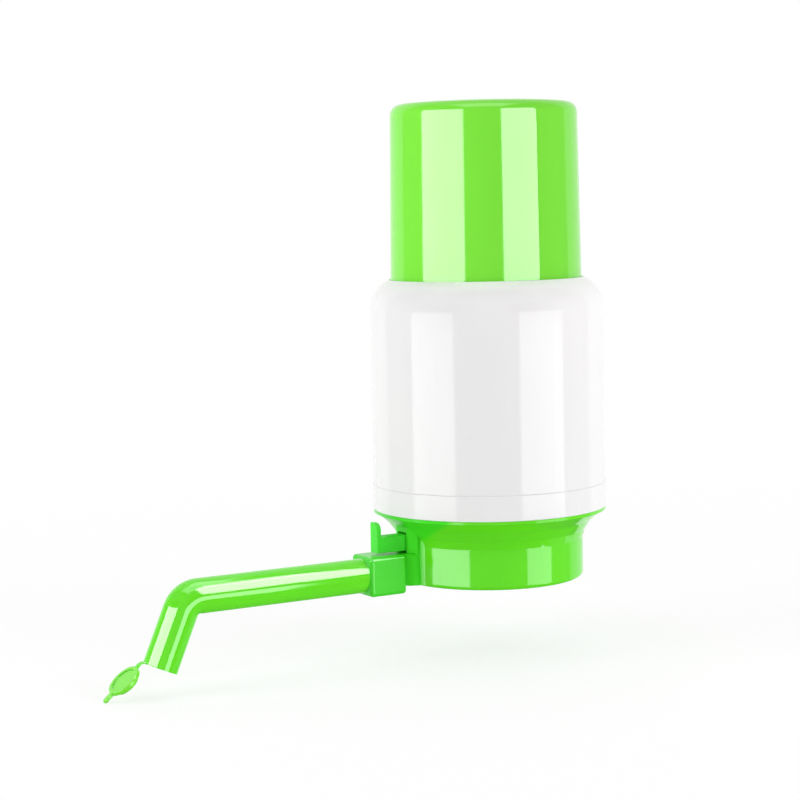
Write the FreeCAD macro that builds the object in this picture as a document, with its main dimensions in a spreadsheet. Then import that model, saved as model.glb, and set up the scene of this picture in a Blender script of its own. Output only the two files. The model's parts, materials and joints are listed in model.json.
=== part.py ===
import FreeCAD, Part
import math
import operator
import os
from types import SimpleNamespace

import Sketcher
from FreeCAD import Placement, Rotation, Vector

# Water jug hand pump. Millimetres, +Z up the pump's axis, the spout towards -Y.
# The origin is the centre of the neck collar's bottom rim.

SIZES = {
    # neck collar
    "neck_bore_r": 28.2,        # slips over a 55 mm jug neck
    "neck_depth": 10.0,         # how far the neck goes in before it meets the gasket
    "neck_wall": 3.9,
    "gasket_thick": 2.6,
    "gasket_step": 0.4,         # the gasket's seat is this much wider than the bore
    "gasket_width": 4.2,        # how far the gasket reaches in from the bore
    "gasket_ledge": 1.7,        # how far its ledge reaches in from the bore
    "pocket_height": 3.0,       # air space between the gasket and the deck
    "deck_thick": 3.0,
    "chamber_height": 5.8,      # from the deck to the seat of the cylinder and shell
    "collar_foot_round": 1.5,
    # funnel and lip under the shell
    "funnel_height": 9.2,
    "funnel_out": 7.9,          # how far the shell stands out from the neck collar
    "funnel_knee_out": 3.1,
    "funnel_knee_down": 4.6,
    "funnel_round": 5.0,
    "lip_thick": 1.1,
    "lip_proud": 0.1,
    "lip_ledge": 0.7,
    "upstand_wall": 2.0,
    "upstand_height": 3.0,
    "snap_bead": 0.3,
    "chamber_out": 1.4,         # the chamber's floor is this much wider than the neck's bore
    "chamber_flare": 2.0,
    # dip tube socket
    "tube_socket_r": 4.6,
    "tube_socket_wall": 1.8,
    "tube_socket_depth": 7.6,
    "tube_stop_r": 3.6,
    "tube_stop_thick": 0.6,
    # water gallery over the deck
    "gallery_half_width": 5.5,
    "gallery_wall": 1.6,
    "gallery_height": 3.7,
    "gallery_cover_thick": 1.4,
    # riser between the ring and the spout
    "riser_half_width": 6.2,
    "riser_beyond_pin": 1.5,    # its top, where the lever comes out
    "riser_ledge": 1.85,        # how far its foot stands out past its top
    "riser_nose_half_width": 3.9,
    "riser_nose_round": 1.0,
    "riser_round": 3.0,
    "riser_root": 1.1,          # how far it reaches into the ring's wall
    "riser_flare": 1.5,
    "riser_flare_run": 1.4,
    "riser_sink": 1.6,
    "riser_foot": 0.6,
    "riser_foot_round": 0.8,
    "duct_wall": 1.3,           # between the neck's bore and the ducts
    "duct_deep": 3.2,
    "duct_wide": 2.2,
    "duct_front_wall": 0.6,     # before the riser's top tapers to its nose
    "air_hole_r": 1.5,
    "air_hole_ring_r": 15.0,
    # nipple that carries the spout
    "spout_height": 5.05,       # height of the spout's horizontal axis over the rim
    "nipple_gap": 0.1,          # between the nipple and the spout's bore
    "nipple_bore_r": 3.0,
    "nipple_length": 11.8,
    "oring_section_r": 0.5,
    "oring_from_face": 7.5,
    # spout
    "spout_r": 5.8,
    "spout_wall": 1.1,
    "spout_reach": 116.75,      # from the pump's axis to the elbow's corner
    "elbow_bend_r": 6.6,
    "leg_lean": 23.5,           # degrees from straight down
    "leg_length": 23.9,
    "block_side": 13.2,
    "block_length": 13.8,
    "block_gap": 0.4,
    "block_round": 1.2,
    "outlet_round": 0.4,
    # dust cap on its strap
    "cap_flange_r": 5.75,
    "cap_flange_thick": 1.3,
    "cap_recess_r": 4.5,
    "cap_recess_deep": 0.6,
    "cap_plug_length": 1.2,
    "cap_plug_clear": 0.2,
    "cap_plug_taper": 0.35,
    "cap_seat_gap": 0.1,
    "cap_open_angle": 116.5,    # degrees from closed to the way it hangs
    "strap_reach": 1.4,
    "hinge_drop": 0.7,          # the strap's bend lies this far past the outlet
    "strap_thick": 0.7,
    "strap_width": 2.2,
    "pull_tab_length": 3.5,
    "pull_tab_width": 2.4,
    # vent lever
    "lever_width": 4.6,
    "lever_side_gap": 0.3,
    "lever_over_block": 0.65,
    "lever_above_pin": 2.4,
    "lever_beyond_riser": 9.1,
    "tab_thick": 1.4,
    "tab_rise": 4.8,
    "tab_round": 2.6,
    "slot_wall": 0.6,           # between the gallery's end and the lever's slot
    "slot_under_lever": 0.8,
    "slot_over_lever": 0.6,
    "pin_r": 0.8,
    "pin_gap": 0.05,
    "pin_sunk": 1.7,            # below the riser's far side
    "pin_from_slot": 3.95,
    "pin_rise": 3.0,            # above the lever's underside
    "eye_r": 1.55,
    "vent_port_r": 0.9,
    "vent_port_rise": 1.4,      # above the lever's underside
    "pad_thick": 0.8,
    "pad_height": 2.6,
    "vent_spring_r": 0.9,
    "vent_spring_wire": 0.3,
    "vent_spring_from_pin": 2.2,
    "vent_spring_pocket": 2.5,
    "vent_spring_turns": 3.5,
    # pump cylinder and its head
    "cylinder_wall": 2.0,
    "floor_thick": 2.6,
    "flange_gap": 0.2,
    "deck_seal_r": 0.54,
    "screw_inset": 6.9,         # from the flange's recess in to the ring of screws
    "screw_boss_r": 3.0,
    "screw_r": 1.15,
    "screw_head_r": 2.8,
    "screw_head_high": 1.8,
    "screw_head_clear": 0.2,    # between the screw heads and the cylinder
    "screw_depth": 4.4,
    "screw_clear": 0.4,
    "valve_y": 14.0,
    "valve_r": 5.8,
    "valve_thick": 0.8,
    "valve_stem_r": 1.4,
    "valve_bead": 1.2,
    "port_r": 1.2,
    "port_ring_r": 3.6,
    "head_thick": 3.0,
    "head_skirt": 2.1,
    "head_skirt_high": 5.0,
    "head_guide_high": 4.0,
    "head_guide_r": 8.5,
    "head_vent_r": 1.5,
    "bump_high": 1.5,
    "bump_r": 9.5,
    "bump_clear": 0.3,
    "spring_ring_wall": 1.7,
    "spring_ring_high": 2.0,
    # plunger
    "stroke": 45.0,
    "bottom_gap": 1.5,
    "piston_height": 8.0,
    "piston_gap": 0.7,
    "piston_rise_gap": 2.0,
    "seal_gap": 0.05,
    "seal_deep": 3.3,
    "seal_high": 3.5,
    "flap_r": 12.0,
    "flap_thick": 0.8,
    "washer_r": 5.0,
    "washer_thick": 0.8,
    "rod_r": 5.0,
    "rod_fit": 0.1,
    "rod_socket_deep": 17.0,
    "screw_bite": 10.0,
    "spring_r": 15.5,
    "spring_wire": 1.6,
    "spring_turns": 11.0,
    # shell and press cap
    "shell_wall": 2.0,
    "shell_above_head": 8.3,    # from the cylinder's lid up to the shell's mouth
    "band_height": 8.55,
    "band_step": 0.3,
    "shoulder_drop": 4.35,
    "shoulder_round": 10.5,
    "mouth_inset": 6.74,
    "mouth_deep": 4.4,
    "mouth_gap": 0.3,
    "catch_width": 2.7,
    "catch_thick": 2.2,
    "catch_gap": 0.2,
    "press_taper": 1.06,        # the press cap's top is this much narrower than its foot
    "press_wall": 2.3,
    "press_roof": 2.4,
    "press_above_rod": 5.0,
    "press_crown": 1.6,
    "press_edge_round": 3.8,
    "press_skirt": 8.7,         # below the catch ring
    "press_boss_r": 8.0,
    "face_gap": 0.05,           # between flat faces that only touch
}

OPERATIONS = {"+": operator.add, "-": operator.sub, "*": operator.mul, "/": operator.truediv}


class Size:
    """A length that keeps both its number and the sheet expression that it comes from."""

    def __init__(self, number, text):
        self.number = number
        self.text = text

    def __add__(self, other):
        return joined(self, "+", other)

    def __radd__(self, other):
        return joined(other, "+", self)

    def __sub__(self, other):
        return joined(self, "-", other)

    def __rsub__(self, other):
        return joined(other, "-", self)

    def __mul__(self, other):
        return joined(self, "*", other)

    def __rmul__(self, other):
        return joined(other, "*", self)

    def __truediv__(self, other):
        return joined(self, "/", other)

    def __neg__(self):
        return joined(0, "-", self)


def as_size(value):
    if isinstance(value, Size):
        return value
    return Size(float(value), "({:.9g})".format(value))


def joined(left, sign, right):
    left = as_size(left)
    right = as_size(right)
    number = OPERATIONS[sign](left.number, right.number)
    return Size(number, "({} {} {})".format(left.text, sign, right.text))


def sine(angle):
    return Size(math.sin(math.radians(angle.number)), "sin({})".format(angle.text))


def cosine(angle):
    return Size(math.cos(math.radians(angle.number)), "cos({})".format(angle.text))


def tangent(angle):
    return Size(math.tan(math.radians(angle.number)), "tan({})".format(angle.text))


def bind(thing, prop, value):
    """Tie a property to the sheet."""
    thing.setExpression(prop, as_size(value).text)


def place(thing, spot, tilt=None, turn=None):
    """Put a thing at (x, y, z), turned about X by tilt or about Z by turn, in degrees."""
    if tilt is not None:
        thing.Placement = Placement(Vector(), Rotation(Vector(1, 0, 0), 45))
        bind(thing, "Placement.Rotation.Angle", tilt)
    if turn is not None:
        thing.Placement = Placement(Vector(), Rotation(Vector(0, 0, 1), turn))
    for letter, value in zip("xyz", spot):
        bind(thing, "Placement.Base." + letter, value)
    return thing


doc = FreeCAD.newDocument("hand_pump")
sheet = doc.addObject("Spreadsheet::Sheet", "Sizes")
for row, (alias, number) in enumerate(SIZES.items(), start=1):
    sheet.set("A{}".format(row), alias)
    sheet.set("B{}".format(row), str(number))
    sheet.setAlias("B{}".format(row), alias)
doc.recompute()
s = SimpleNamespace(**{alias: Size(float(sheet.get(alias)), "Sizes." + alias) for alias in SIZES})


# ---- building blocks ---------------------------------------------------------------------

def origin_plane(body, role):
    return next(item for item in body.Origin.OriginFeatures if item.Role == role)


def outline_sketch(body, role, points, arcs=None):
    """A closed outline on one of the body's own planes, every corner tied to the sheet.

    arcs gives the radius of each side, by its number, that is an arc to the left.
    """
    arcs = arcs or {}
    sketch = body.newObject("Sketcher::SketchObject", body.Name + "_outline")
    sketch.AttachmentSupport = [(origin_plane(body, role), "")]
    sketch.MapMode = "FlatFace"
    points = [(as_size(across), as_size(up)) for across, up in points]
    corners = [Vector(across.number, up.number, 0) for across, up in points]
    count = len(points)
    for side in range(count):
        start = corners[side]
        end = corners[(side + 1) % count]
        if side in arcs:
            sketch.addGeometry(arc_between(start, end, arcs[side].number), False)
        else:
            sketch.addGeometry(Part.LineSegment(start, end), False)
    for side in range(count):
        sketch.addConstraint(Sketcher.Constraint("Coincident", side, 2, (side + 1) % count, 1))
    for side, (across, up) in enumerate(points):
        for kind, value in (("DistanceX", across), ("DistanceY", up)):
            number = sketch.addConstraint(Sketcher.Constraint(kind, -1, 1, side, 1, value.number))
            sketch.setExpression("Constraints[{}]".format(number), value.text)
    for side, radius in arcs.items():
        number = sketch.addConstraint(Sketcher.Constraint("Radius", side, radius.number))
        sketch.setExpression("Constraints[{}]".format(number), radius.text)
    return sketch


def arc_between(start, end, radius):
    """An arc that runs counterclockwise from start to end."""
    middle = (start + end) / 2
    half = (end - start).Length / 2
    inward = Vector(start.y - end.y, end.x - start.x, 0).normalize()
    centre = middle + inward * math.sqrt(radius ** 2 - half ** 2)
    circle = Part.Circle(centre, Vector(0, 0, 1), radius)
    return Part.ArcOfCircle(circle, circle.parameter(start), circle.parameter(end))


def new_body(label):
    body = doc.addObject("PartDesign::Body", label)
    body.Label = label
    return body


def turned(label, points, rounds=(), arcs=None):
    """A body turned about Z from an outline of (radius, height).

    rounds lists (radius, height, round) for each ring edge that is rounded.
    """
    body = new_body(label)
    sketch = outline_sketch(body, "XZ_Plane", points, arcs)
    revolution = body.newObject("PartDesign::Revolution", label + "_turned")
    revolution.Profile = sketch
    revolution.ReferenceAxis = (sketch, ["V_Axis"])
    revolution.Angle = 360
    doc.recompute()
    for ring_r, height, radius in rounds:
        round_edges(body, radius, ring_at(ring_r, height))
    return body


def padded(label, role, points, length, rounds=(), middle=False):
    """A body padded from an outline; rounds lists (round, test of an edge)."""
    body = new_body(label)
    sketch = outline_sketch(body, role, points)
    pad = body.newObject("PartDesign::Pad", label + "_pad")
    pad.Profile = sketch
    pad.Midplane = middle
    bind(pad, "Length", length)
    doc.recompute()
    for radius, test in rounds:
        round_edges(body, radius, test)
    return body


def round_edges(body, radius, test):
    """Round the edges that pass the test."""
    base = body.Tip
    names = ["Edge{}".format(i) for i, edge in enumerate(base.Shape.Edges, 1)
             if not edge.Degenerated and test(edge)]
    assert names, body.Label + " has no such edge"
    fillet = body.newObject("PartDesign::Fillet", body.Name + "_round")
    fillet.Base = (base, names)
    bind(fillet, "Radius", radius)
    body.Tip = fillet
    doc.recompute()


NEAR = 0.001


def ring_at(radius, height):
    """True for the circular edge of this radius at this height."""
    def test(edge):
        if not isinstance(edge.Curve, Part.Circle):
            return False
        off_r = abs(edge.Curve.Radius - as_size(radius).number)
        return off_r < NEAR and abs(edge.Curve.Center.z - as_size(height).number) < NEAR
    return test


def edge_along(axis, **where):
    """True for a straight edge along the axis at the given x, y or z."""
    def test(edge):
        if not isinstance(edge.Curve, Part.Line):
            return False
        direction = edge.tangentAt(edge.FirstParameter)
        if abs(abs(direction.dot(axis)) - 1) > NEAR:
            return False
        centre = edge.CenterOfMass
        return all(abs(getattr(centre, k) - as_size(v).number) < NEAR for k, v in where.items())
    return test


def block(name, low, high):
    """A box between two corners."""
    box = doc.addObject("Part::Box", name)
    for prop, start, end in zip(("Length", "Width", "Height"), low, high):
        bind(box, prop, as_size(end) - start)
    return place(box, low)


def rod(name, radius, start, length, tilt=None):
    """A cylinder from start, along +Z or tilted about X; a tilt of 90 points it along -Y."""
    cylinder = doc.addObject("Part::Cylinder", name)
    bind(cylinder, "Radius", radius)
    bind(cylinder, "Height", length)
    return place(cylinder, start, tilt)


def fused(name, things):
    fusion = doc.addObject("Part::MultiFuse", name)
    fusion.Shapes = things
    fusion.Refine = True
    return fusion


def cut(label, base, tools):
    """The base without its tools; the result is the sub-part of that label."""
    result = doc.addObject("Part::Cut", label)
    result.Label = label
    result.Base = base
    result.Tool = tools[0] if len(tools) == 1 else fused(label + "_cuts", tools)
    result.Refine = True
    return result


def on_ring(radius, angle):
    """The (x, y) of a point on a ring, at an angle in degrees that doesn't change."""
    return radius * math.cos(math.radians(angle)), radius * math.sin(math.radians(angle))


def coil(label, radius, wire_r, turns, bottom, top, y=0.0):
    """A helical spring between two heights, whose wire just meets both."""
    helix = doc.addObject("Part::Helix", label + "_helix")
    height = top - bottom - 2 * wire_r
    bind(helix, "Radius", radius)
    bind(helix, "Pitch", height / turns)
    bind(helix, "Height", height)
    section = doc.addObject("Part::Circle", label + "_section")
    bind(section, "Radius", wire_r)
    section.Placement = Placement(Vector(), Rotation(Vector(1, 0, 0), 90))
    bind(section, "Placement.Base.x", radius)
    sweep = doc.addObject("Part::Sweep", label)
    sweep.Label = label
    sweep.Sections = [section]
    sweep.Spine = (helix, ["Edge1"])
    sweep.Solid = True
    sweep.Frenet = True
    return place(sweep, (0, y, bottom + wire_r))


# ---- levels and radii that several pieces share ----------------------------------------

gasket_top = s.neck_depth + s.gasket_thick
deck_floor = gasket_top + s.pocket_height
deck_top = deck_floor + s.deck_thick
seat = deck_top + s.chamber_height
gallery_top = deck_top + s.gallery_height
floor_top = seat + s.floor_thick
plunger_low = floor_top + s.valve_bead + s.bottom_gap + s.stroke
washer_low = plunger_low + s.screw_head_high
flap_low = washer_low + s.washer_thick
piston_low = flap_low + s.flap_thick
piston_top = piston_low + s.piston_height
guide_low = piston_top + s.piston_rise_gap
cylinder_top = guide_low + s.head_guide_high
head_top = cylinder_top + s.head_thick
bump_top = head_top + s.bump_high
boss_low = bump_top + s.stroke + s.bump_clear
rod_top = boss_low + s.rod_socket_deep
shell_top = head_top + s.shell_above_head
mouth_low = shell_top - s.mouth_deep
catch_top = mouth_low - s.catch_gap
catch_low = catch_top - s.catch_thick
press_foot = catch_low - s.press_skirt
press_top = rod_top + s.press_above_rod
press_edge = press_top - s.press_crown
press_ceiling = press_top - s.press_roof

collar_r = s.neck_bore_r + s.neck_wall
gasket_seat_r = s.neck_bore_r + s.gasket_step
gasket_bore_r = s.neck_bore_r - s.gasket_width
gasket_ledge_r = s.neck_bore_r - s.gasket_ledge
shell_r = collar_r + s.funnel_out
shell_inner_r = shell_r - s.shell_wall
upstand_r = shell_inner_r - 2 * s.face_gap
flange_recess_r = upstand_r - s.upstand_wall
chamber_floor_r = s.neck_bore_r + s.chamber_out
shelf_inner_r = chamber_floor_r + s.chamber_flare
chamber_r = chamber_floor_r + s.chamber_flare * s.gallery_height / s.chamber_height
screw_ring_r = flange_recess_r - s.screw_inset
cylinder_outer_r = screw_ring_r - s.screw_head_r - s.screw_head_clear
cylinder_r = cylinder_outer_r - s.cylinder_wall
mouth_r = shell_r - s.mouth_inset
catch_r = mouth_r + s.catch_width
press_foot_r = mouth_r - s.mouth_gap
press_top_r = press_foot_r - s.press_taper
spout_bore_r = s.spout_r - s.spout_wall
nipple_r = spout_bore_r - s.nipple_gap

duct_inner_y = s.neck_bore_r + s.duct_wall
duct_outer_y = duct_inner_y + s.duct_deep
slot_inner_y = duct_inner_y + s.slot_wall
pin_y = slot_inner_y + s.pin_from_slot
vent_spring_y = pin_y - s.vent_spring_from_pin
riser_top_reach = pin_y + s.riser_beyond_pin
riser_reach = riser_top_reach + s.riser_ledge
lever_reach = riser_reach + s.lever_beyond_riser
lever_bottom = s.spout_height + s.block_side / 2 + s.lever_over_block
slot_bottom = lever_bottom - s.slot_under_lever
vent_port_height = lever_bottom + s.vent_port_rise
pin_height = lever_bottom + s.pin_rise
lever_top = pin_height + s.lever_above_pin
slot_top = lever_top + s.slot_over_lever
tab_top = lever_top + s.tab_rise
SCREW_ANGLES = (45, 135, 225, 315)


# ---- the fixed base -----------------------------------------------------------------------

def base_collar():
    """The neck ring, funnel, deck, riser and nipple: one moulding."""
    socket_top = deck_top - s.tube_stop_thick
    socket_mouth = socket_top - s.tube_socket_depth
    socket_outer_r = s.tube_socket_r + s.tube_socket_wall
    lip_r = shell_r + s.lip_proud
    bead_low = seat + s.upstand_height / 2 - s.snap_bead
    ring = turned("collar_ring", [
        (s.neck_bore_r, 0), (collar_r, 0), (collar_r, seat - s.funnel_height),
        (collar_r + s.funnel_knee_out, seat - s.funnel_knee_down),
        (lip_r - s.lip_ledge, seat - s.lip_thick), (lip_r, seat - s.lip_thick), (lip_r, seat),
        (upstand_r, seat), (upstand_r, bead_low),
        (upstand_r + s.snap_bead, bead_low + s.snap_bead),
        (upstand_r, bead_low + 2 * s.snap_bead),
        (upstand_r, seat + s.upstand_height), (flange_recess_r, seat + s.upstand_height),
        (flange_recess_r, seat), (shelf_inner_r, seat), (chamber_floor_r, deck_top),
        (s.tube_stop_r, deck_top), (s.tube_stop_r, socket_top), (s.tube_socket_r, socket_top),
        (s.tube_socket_r, socket_mouth), (socket_outer_r, socket_mouth),
        (socket_outer_r, deck_floor), (gasket_ledge_r, deck_floor),
        (gasket_ledge_r, gasket_top), (gasket_seat_r, gasket_top),
        (gasket_seat_r, s.neck_depth), (s.neck_bore_r, s.neck_depth),
    ], rounds=[
        (collar_r, 0, s.collar_foot_round),
        (collar_r, seat - s.funnel_height, s.funnel_round),
        (collar_r + s.funnel_knee_out, seat - s.funnel_knee_down, s.funnel_round),
    ])
    added = [ring, riser_block(), nipple_tube(), gallery_walls()]
    for angle in SCREW_ANGLES:
        x, y = on_ring(screw_ring_r, angle)
        boss_foot = deck_top - s.face_gap
        added.append(rod("screw_boss", s.screw_boss_r, (x, y, boss_foot), seat - boss_foot))
    return cut("base_collar", fused("collar_solid", added), collar_hollows())


def riser_block():
    """The upright block between the ring and the spout; its top tapers to a nose behind a ledge."""
    half = s.riser_half_width
    root = -(collar_r - s.riser_root)
    upright = Vector(0, 0, 1)
    foot_height = slot_bottom - s.riser_foot
    foot = riser_pad("riser_low", [(half, -riser_reach)], foot_height, [
        (s.riser_round, edge_along(upright, y=-riser_reach)),
        (s.riser_foot_round, lambda edge: edge.BoundBox.ZMax < NEAR
         and edge.BoundBox.YMin < root.number - NEAR),
        (s.riser_foot_round, lambda edge: edge.BoundBox.ZMin > foot_height.number - NEAR
         and edge.BoundBox.YMin < root.number - NEAR),
    ])
    nose = [(half, -(duct_outer_y + s.duct_front_wall)), (s.riser_nose_half_width, -riser_top_reach)]
    top = riser_pad("riser_high", nose, seat - s.riser_sink - s.riser_foot, [
        (s.riser_nose_round, edge_along(upright, y=-riser_top_reach)),
    ])
    return fused("riser", [foot, top])


def riser_pad(name, front, height, rounds):
    """An upright pad that flares where it leaves the ring; front lists its corners on one side."""
    half = s.riser_half_width
    root = -(collar_r - s.riser_root)
    corners = [(half + s.riser_flare, root), (half, root - s.riser_flare_run)] + front
    mirrored = [(-x, y) for x, y in reversed(corners)]
    pad = padded(name, "XY_Plane", corners + mirrored, height, rounds=rounds)
    return place(pad, (0, 0, s.riser_foot))


def nipple_tube():
    """The tube that the spout is pushed onto, with its O-ring groove."""
    start = riser_reach - s.spout_wall
    length = s.nipple_length + s.spout_wall
    tube = rod("nipple_tube", nipple_r, (0, -start, s.spout_height), length, 90)
    groove_r = spout_bore_r - 2 * s.face_gap - 2 * s.oring_section_r
    groove_start = riser_reach + s.oring_from_face - s.oring_section_r - s.face_gap
    groove_width = 2 * (s.oring_section_r + s.face_gap)
    spot = (0, -groove_start, s.spout_height)
    groove = cut("oring_groove", rod("groove_outside", nipple_r + s.spout_wall, spot,
                                     groove_width, 90),
                 [rod("groove_core", groove_r, spot, groove_width, 90)])
    return cut("nipple_grooved", tube, [groove])


def gallery_walls():
    """The raised walls of the water gallery on the deck."""
    half = s.gallery_half_width + s.gallery_wall
    outer_y = shelf_inner_r
    return block("gallery_walls", (-half, -outer_y, deck_top - s.face_gap), (half, half, gallery_top))


def collar_hollows():
    """The water and air ways, the lever's slot and the holes in the base."""
    duct_x = s.gallery_half_width
    water_low = s.spout_height - s.nipple_bore_r
    hollows = [
        block("gallery", (-duct_x, -duct_inner_y, deck_top), (duct_x, duct_x, gallery_top)),
        block("plenum", (-duct_x, -duct_outer_y, water_low),
              (duct_x, -duct_inner_y, s.spout_height + s.nipple_bore_r)),
        rod("water_way", s.nipple_bore_r, (0, -duct_inner_y, s.spout_height),
            riser_reach + s.nipple_length, 90),
        rod("vent_port", s.vent_port_r, (0, -(gasket_ledge_r - s.vent_port_r), vent_port_height),
            slot_inner_y - gasket_ledge_r + 2 * s.vent_port_r, 90),
        lever_slot(),
        cross_rod("pin_hole", s.pin_r + s.pin_gap, -s.riser_half_width,
                  s.riser_nose_half_width + s.face_gap),
        rod("vent_spring_pocket", vent_pocket_r(), (0, -vent_spring_y, spring_foot()),
            s.vent_spring_pocket + s.vent_port_r),
        seal_groove(),
    ]
    for low_x, high_x in ((-duct_x, s.duct_wide - duct_x), (duct_x - s.duct_wide, duct_x)):
        hollows.append(block("duct", (low_x, -duct_outer_y, water_low),
                             (high_x, -duct_inner_y, gallery_top)))
    for angle in (30, 90, 150):
        x, y = on_ring(s.air_hole_ring_r, angle)
        hollows.append(rod("air_hole", s.air_hole_r, (x, y, deck_floor - s.air_hole_r),
                           s.deck_thick + 2 * s.air_hole_r))
    for angle in SCREW_ANGLES:
        x, y = on_ring(screw_ring_r, angle)
        hollows.append(rod("pilot_hole", s.screw_r + s.face_gap,
                           (x, y, seat - s.screw_depth - s.screw_clear),
                           s.screw_depth + 2 * s.screw_clear))
    return hollows


def lever_slot():
    half = s.lever_width / 2 + s.lever_side_gap
    return block("lever_slot", (-half, -(riser_reach + s.riser_round), slot_bottom),
                 (half, -slot_inner_y, slot_top))


def seal_groove():
    """The square groove of the deck seal, in the shelf round the chamber."""
    half = s.deck_seal_r + s.face_gap
    ring_r = deck_seal_ring_r()
    foot = (0, 0, seat - 2 * s.deck_seal_r)
    height = 3 * s.deck_seal_r
    return cut("seal_groove", rod("seal_groove_outside", ring_r + half, foot, height),
               [rod("seal_groove_core", ring_r - half, foot, height)])


def deck_seal_ring_r():
    return (screw_ring_r + s.screw_boss_r + flange_recess_r) / 2


def vent_pocket_r():
    return s.vent_spring_r + s.vent_spring_wire


def spring_foot():
    """The height of the vent spring's pocket, under the lever's heel."""
    return slot_bottom - s.vent_spring_pocket


def cross_rod(name, radius, start_x, end_x):
    """A cylinder along X on the lever pin's axis."""
    cylinder = doc.addObject("Part::Cylinder", name)
    bind(cylinder, "Radius", radius)
    bind(cylinder, "Height", end_x - start_x)
    cylinder.Placement = Placement(Vector(), Rotation(Vector(0, 1, 0), 90))
    return place(cylinder, (start_x, -pin_y, pin_height))


def lever_pin():
    """The steel pin, pressed in from the riser's far side into a blind hole."""
    pin = cross_rod("lever_pin", s.pin_r, s.pin_sunk - s.riser_half_width,
                    s.riser_nose_half_width)
    pin.Label = "lever_pin"
    return pin


def gallery_cover():
    """The lid welded over the gallery's walls."""
    half = s.gallery_half_width + s.gallery_wall
    lid = block("gallery_lid", (-half, -shelf_inner_r, gallery_top),
                (half, half, gallery_top + s.gallery_cover_thick))
    disc = rod("gallery_lid_disc", chamber_r - 2 * s.face_gap, (0, 0, gallery_top),
               s.gallery_cover_thick)
    cover = doc.addObject("Part::Common", "gallery_cover")
    cover.Label = "gallery_cover"
    cover.Base = lid
    cover.Tool = disc
    return cover


def neck_gasket():
    """The flat rubber ring that the jug's mouth presses against."""
    outer_r = gasket_seat_r - s.face_gap
    return turned("neck_gasket", [
        (gasket_bore_r, s.neck_depth), (outer_r, s.neck_depth),
        (outer_r, gasket_top), (gasket_bore_r, gasket_top),
    ])


def deck_seal():
    return torus("deck_seal", deck_seal_ring_r(), s.deck_seal_r, (0, 0, seat - s.deck_seal_r))


def torus(label, ring_r, section_r, spot, tilt=None):
    ring = doc.addObject("Part::Torus", label)
    ring.Label = label
    bind(ring, "Radius1", ring_r)
    bind(ring, "Radius2", section_r)
    return place(ring, spot, tilt)


# ---- spout and dust cap --------------------------------------------------------------------

elbow_turn = 90 - s.leg_lean
elbow_run = s.elbow_bend_r * tangent(elbow_turn / 2)
lean_sin = sine(s.leg_lean)
lean_cos = cosine(s.leg_lean)
outlet_y = -(s.spout_reach + s.leg_length * lean_sin)
outlet_z = s.spout_height - s.leg_length * lean_cos
hinge_arm = s.spout_r + s.strap_reach
hinge_y = outlet_y - hinge_arm * lean_cos - s.hinge_drop * lean_sin
hinge_z = outlet_z + hinge_arm * lean_sin - s.hinge_drop * lean_cos
cap_tilt = 180 - s.leg_lean - s.cap_open_angle


def bent_tube(name, radius, start_y, spare):
    """The spout's run, elbow and leg as one solid of this radius; the leg is longer by spare."""
    elbow_y = s.spout_reach - elbow_run
    run = rod(name + "_run", radius, (0, start_y, s.spout_height), elbow_y + start_y, 90)
    elbow = doc.addObject("Part::Torus", name + "_elbow")
    elbow.Placement = Placement(Vector(), Rotation(Vector(0, 0, 1), Vector(0, -1, 0),
                                                   Vector(1, 0, 0), "XYZ"))
    bind(elbow, "Radius1", s.elbow_bend_r)
    bind(elbow, "Radius2", radius)
    bind(elbow, "Angle3", elbow_turn)
    place(elbow, (0, -elbow_y, s.spout_height - s.elbow_bend_r))
    leg_start = (0, -(s.spout_reach + elbow_run * lean_sin), s.spout_height - elbow_run * lean_cos)
    leg = rod(name + "_leg", radius, leg_start, s.leg_length - elbow_run + spare, 180 - s.leg_lean)
    return fused(name, [run, elbow, leg])


def spout():
    """The pouring tube with the square block that grips the nipple."""
    block_start = -(riser_reach + s.block_gap)
    half = s.block_side / 2
    grip = padded("grip_block", "XZ_Plane", [(-half, -half), (half, -half), (half, half),
                                             (-half, half)], s.block_length,
                  rounds=[(s.block_round, lambda edge: True)], middle=True)
    place(grip, (0, block_start - s.block_length / 2, s.spout_height))
    tube = bent_tube("spout_tube", s.spout_r, block_start - s.block_length / 2, 0)
    bore = bent_tube("spout_bore", spout_bore_r, block_start + s.block_gap, s.spout_wall)
    return cut("spout", fused("spout_solid", [grip, tube]), [bore])


def spout_oring():
    return torus("spout_oring", spout_bore_r - s.face_gap - s.oring_section_r, s.oring_section_r,
                 (0, -(riser_reach + s.oring_from_face), s.spout_height), 90)


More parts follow.
